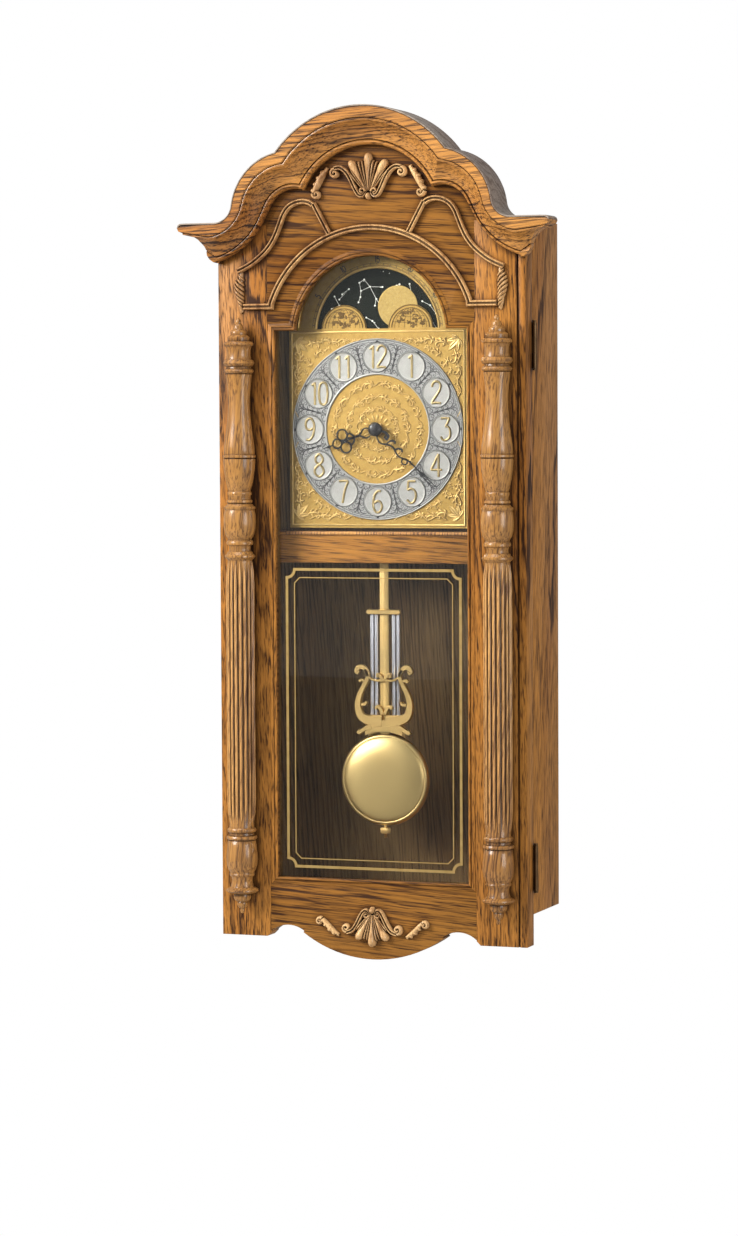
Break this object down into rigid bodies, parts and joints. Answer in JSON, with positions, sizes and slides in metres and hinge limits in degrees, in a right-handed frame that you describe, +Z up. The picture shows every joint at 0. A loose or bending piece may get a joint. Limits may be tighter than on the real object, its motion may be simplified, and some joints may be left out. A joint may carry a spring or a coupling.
{
  "type": "pendulum wall clock",
  "caption": "Arched-top oak wall clock with a hinged glazed door, reeded columns, a moon dial, serpentine hands and a lyre pendulum.",
  "frame": {"origin": "centre of the hanging hole, on the plane of the back that touches the wall", "axes": "+X to the right seen from the front, -Y out of the wall towards the viewer, +Z up"},
  "size_m": [0.381, 0.131, 0.8305],
  "materials": {
    "oak": "satin lacquer over golden oak stain with dark open grain",
    "carved_oak": "carved, glazed lighter tan, satin",
    "dark_panel": "dark stained hardboard, matt",
    "pine": "bare softwood",
    "edge_veneer": "grey-brown bent edging, satin",
    "dial_brass": "embossed, satin gold lacquer",
    "silvered": "brushed silvered ring with black print",
    "polished_brass": "polished and lacquered",
    "nickel": "polished nickel",
    "steel": "zinc plated",
    "antique_brass": "dark antique lacquer",
    "black_hands": "satin black",
    "moon_paint": "printed night sky, satin",
    "clear_glass": "clear",
    "black_plastic": "moulded",
    "white_plastic": "moulded",
    "battery_wrap": "printed sleeve",
    "paper_cone": "pressed paper pulp",
    "lead_pvc": "insulated wire",
    "magnet_ferrite": "ferrite"
  },
  "bodies": {
    "case": {"side_left": "oak", "side_right": "oak", "bottom_panel": "oak", "top_panel": "oak", "back_panel": "dark_panel", "hanging_rail": "pine", "hanger_plate": "steel", "hanger_screws": "steel", "rear_cover": "black_plastic", "cover_screws": "steel", "dial_rail": "oak", "dial_board": "dark_panel", "dial_plate": "dial_brass", "chapter_ring": "silvered", "dial_centre": "dial_brass", "dial_posts": "antique_brass", "moon_post": "antique_brass", "movement_case": "black_plastic", "movement_back": "black_plastic", "centre_nut": "polished_brass", "batteries": "battery_wrap", "speaker_frame": "steel", "speaker_cone": "paper_cone", "speaker_magnet": "magnet_ferrite", "speaker_lead": "lead_pvc", "case_hinge_leaves": "antique_brass", "hinge_pins": "antique_brass", "case_hinge_screws": "antique_brass", "catch_magnet": "magnet_ferrite"},
    "door": {"door_stile_left": "oak", "door_stile_right": "oak", "door_top_rail": "oak", "door_bottom_rail": "oak", "crown_moulding": "oak", "crown_edge_band": "edge_veneer", "column_left": "oak", "column_right": "oak", "top_carving": "carved_oak", "bottom_carving": "carved_oak", "tympanum_beading": "carved_oak", "rope_carvings": "carved_oak", "door_glass": "clear_glass", "glass_beads": "dark_panel", "strike_plate": "steel", "door_hinge_leaves": "antique_brass", "door_hinge_screws": "antique_brass"},
    "minute_train": {"minute_arbor": "polished_brass", "minute_hand": "black_hands", "hand_cap": "black_hands", "set_knob": "black_plastic"},
    "hour_train": {"hour_wheel": "polished_brass", "hour_hand": "black_hands"},
    "reduction": {"reduction_wheel": "polished_brass"},
    "moon": {"moon_disc": "moon_paint"},
    "pendulum": {"pendulum_rod": "polished_brass", "pendulum_lyre": "polished_brass"},
    "bob": {"pendulum_bob": "polished_brass"},
    "nut": {"rating_nut": "polished_brass"},
    "chime_selector": {"chime_switch": "white_plastic"},
    "volume_selector": {"volume_switch": "white_plastic"}
  },
  "joints": [
    {"name": "door_hinge", "type": "hinge", "parent": "case", "child": "door", "pos_m": [0.161, -0.08235, -0.334], "axis": [0, 0, 1], "range_deg": [0, 110]},
    {"name": "minute_turn", "type": "hinge", "parent": "case", "child": "minute_train", "pos_m": [0, -0.083, -0.164], "axis": [0, 1, 0], "continuous": true},
    {"name": "hour_turn", "type": "hinge", "parent": "case", "child": "hour_train", "pos_m": [0, -0.083, -0.164], "axis": [0, 1, 0], "continuous": true},
    {"name": "reduction_turn", "type": "hinge", "parent": "case", "child": "reduction", "pos_m": [0.01, -0.063, -0.164], "axis": [0, 1, 0], "continuous": true},
    {"name": "moon_turn", "type": "hinge", "parent": "case", "child": "moon", "pos_m": [0, -0.0784, -0.07], "axis": [0, 1, 0], "continuous": true},
    {"name": "pendulum_swing", "type": "hinge", "parent": "case", "child": "pendulum", "pos_m": [0, -0.064, -0.217], "axis": [0, 1, 0], "range_deg": [-7, 7]},
    {"name": "bob_slide", "type": "slide", "parent": "pendulum", "child": "bob", "axis": [0, 0, 1], "range_m": [-0.004, 0.004]},
    {"name": "nut_turn", "type": "hinge", "parent": "bob", "child": "nut", "pos_m": [0, -0.064, -0.5595], "axis": [0, 0, 1], "range_deg": [-1800, 1800]},
    {"name": "chime_select", "type": "slide", "parent": "case", "child": "chime_selector", "axis": [1, 0, 0], "range_m": [-0.005, 0.005]},
    {"name": "volume_select", "type": "slide", "parent": "case", "child": "volume_selector", "axis": [1, 0, 0], "range_m": [-0.005, 0.005]}
  ],
  "couplings": [
    {"joint": "hour_turn", "follows": "minute_turn", "ratio": 0.083333},
    {"joint": "reduction_turn", "follows": "minute_turn", "ratio": -0.33333},
    {"joint": "moon_turn", "follows": "minute_turn", "ratio": 0.00070621},
    {"joint": "nut_turn", "follows": "bob_slide", "rad_per_m": 7854}
  ]
}
